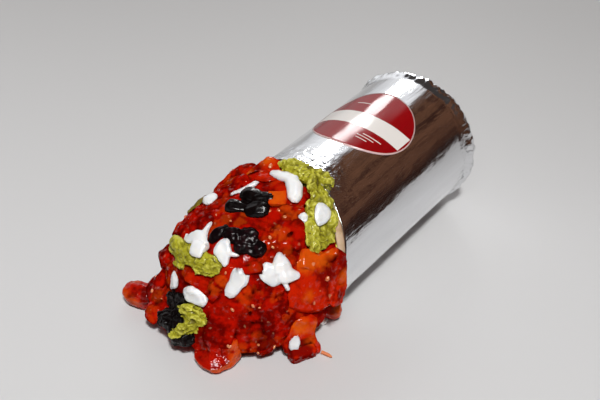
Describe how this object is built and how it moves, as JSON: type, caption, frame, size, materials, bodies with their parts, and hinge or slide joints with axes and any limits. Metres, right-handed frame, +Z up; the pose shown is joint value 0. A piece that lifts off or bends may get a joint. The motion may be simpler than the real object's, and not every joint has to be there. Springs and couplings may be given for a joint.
{
  "type": "foil-wrapped burrito",
  "caption": "Burrito rolled in foil, lying on its side and open at one end, with saucy filling, beans, guacamole and cream spilling out in a heap.",
  "frame": {"origin": "centre of the footprint on the table, under the food", "axes": "+Y along the roll towards its closed end, +X to the roll's right seen from the open end, +Z up"},
  "size_m": [0.106, 0.1828, 0.0742],
  "materials": {
    "foil": "bright rolled foil",
    "label": "glossy sticker",
    "tortilla": "soft steamed dough",
    "sauce": "wet sauce over chopped filling",
    "guacamole": "moist mash",
    "beans": "wet cooked beans",
    "cream": "smooth cream",
    "pepper": "wet cooked pepper",
    "tomato": "wet tomato"
  },
  "bodies": {
    "root": {"guacamole_mouth": "guacamole", "guacamole_left": "guacamole", "guacamole_patch": "guacamole", "beans_top": "beans", "beans_middle": "beans", "beans_front": "beans", "guacamole_front": "guacamole", "tomato_left": "tomato", "tomato_front": "tomato", "tomato_side": "tomato", "pepper_top": "pepper", "pepper_right": "pepper", "pepper_front": "pepper", "pepper_cube": "pepper", "pepper_strand": "pepper", "cream_shoulder": "cream", "cream_crescent": "cream", "cream_comma": "cream", "cream_mouth": "cream", "cream_drop": "cream", "cream_left": "cream", "cream_centre": "cream", "cream_bean": "cream", "cream_star": "cream", "cream_low": "cream", "cream_side": "cream", "cream_foot": "cream", "cream_table": "cream", "filling": "sauce", "tortilla": "tortilla", "foil": "foil", "label": "label"}
  },
  "joints": []
}
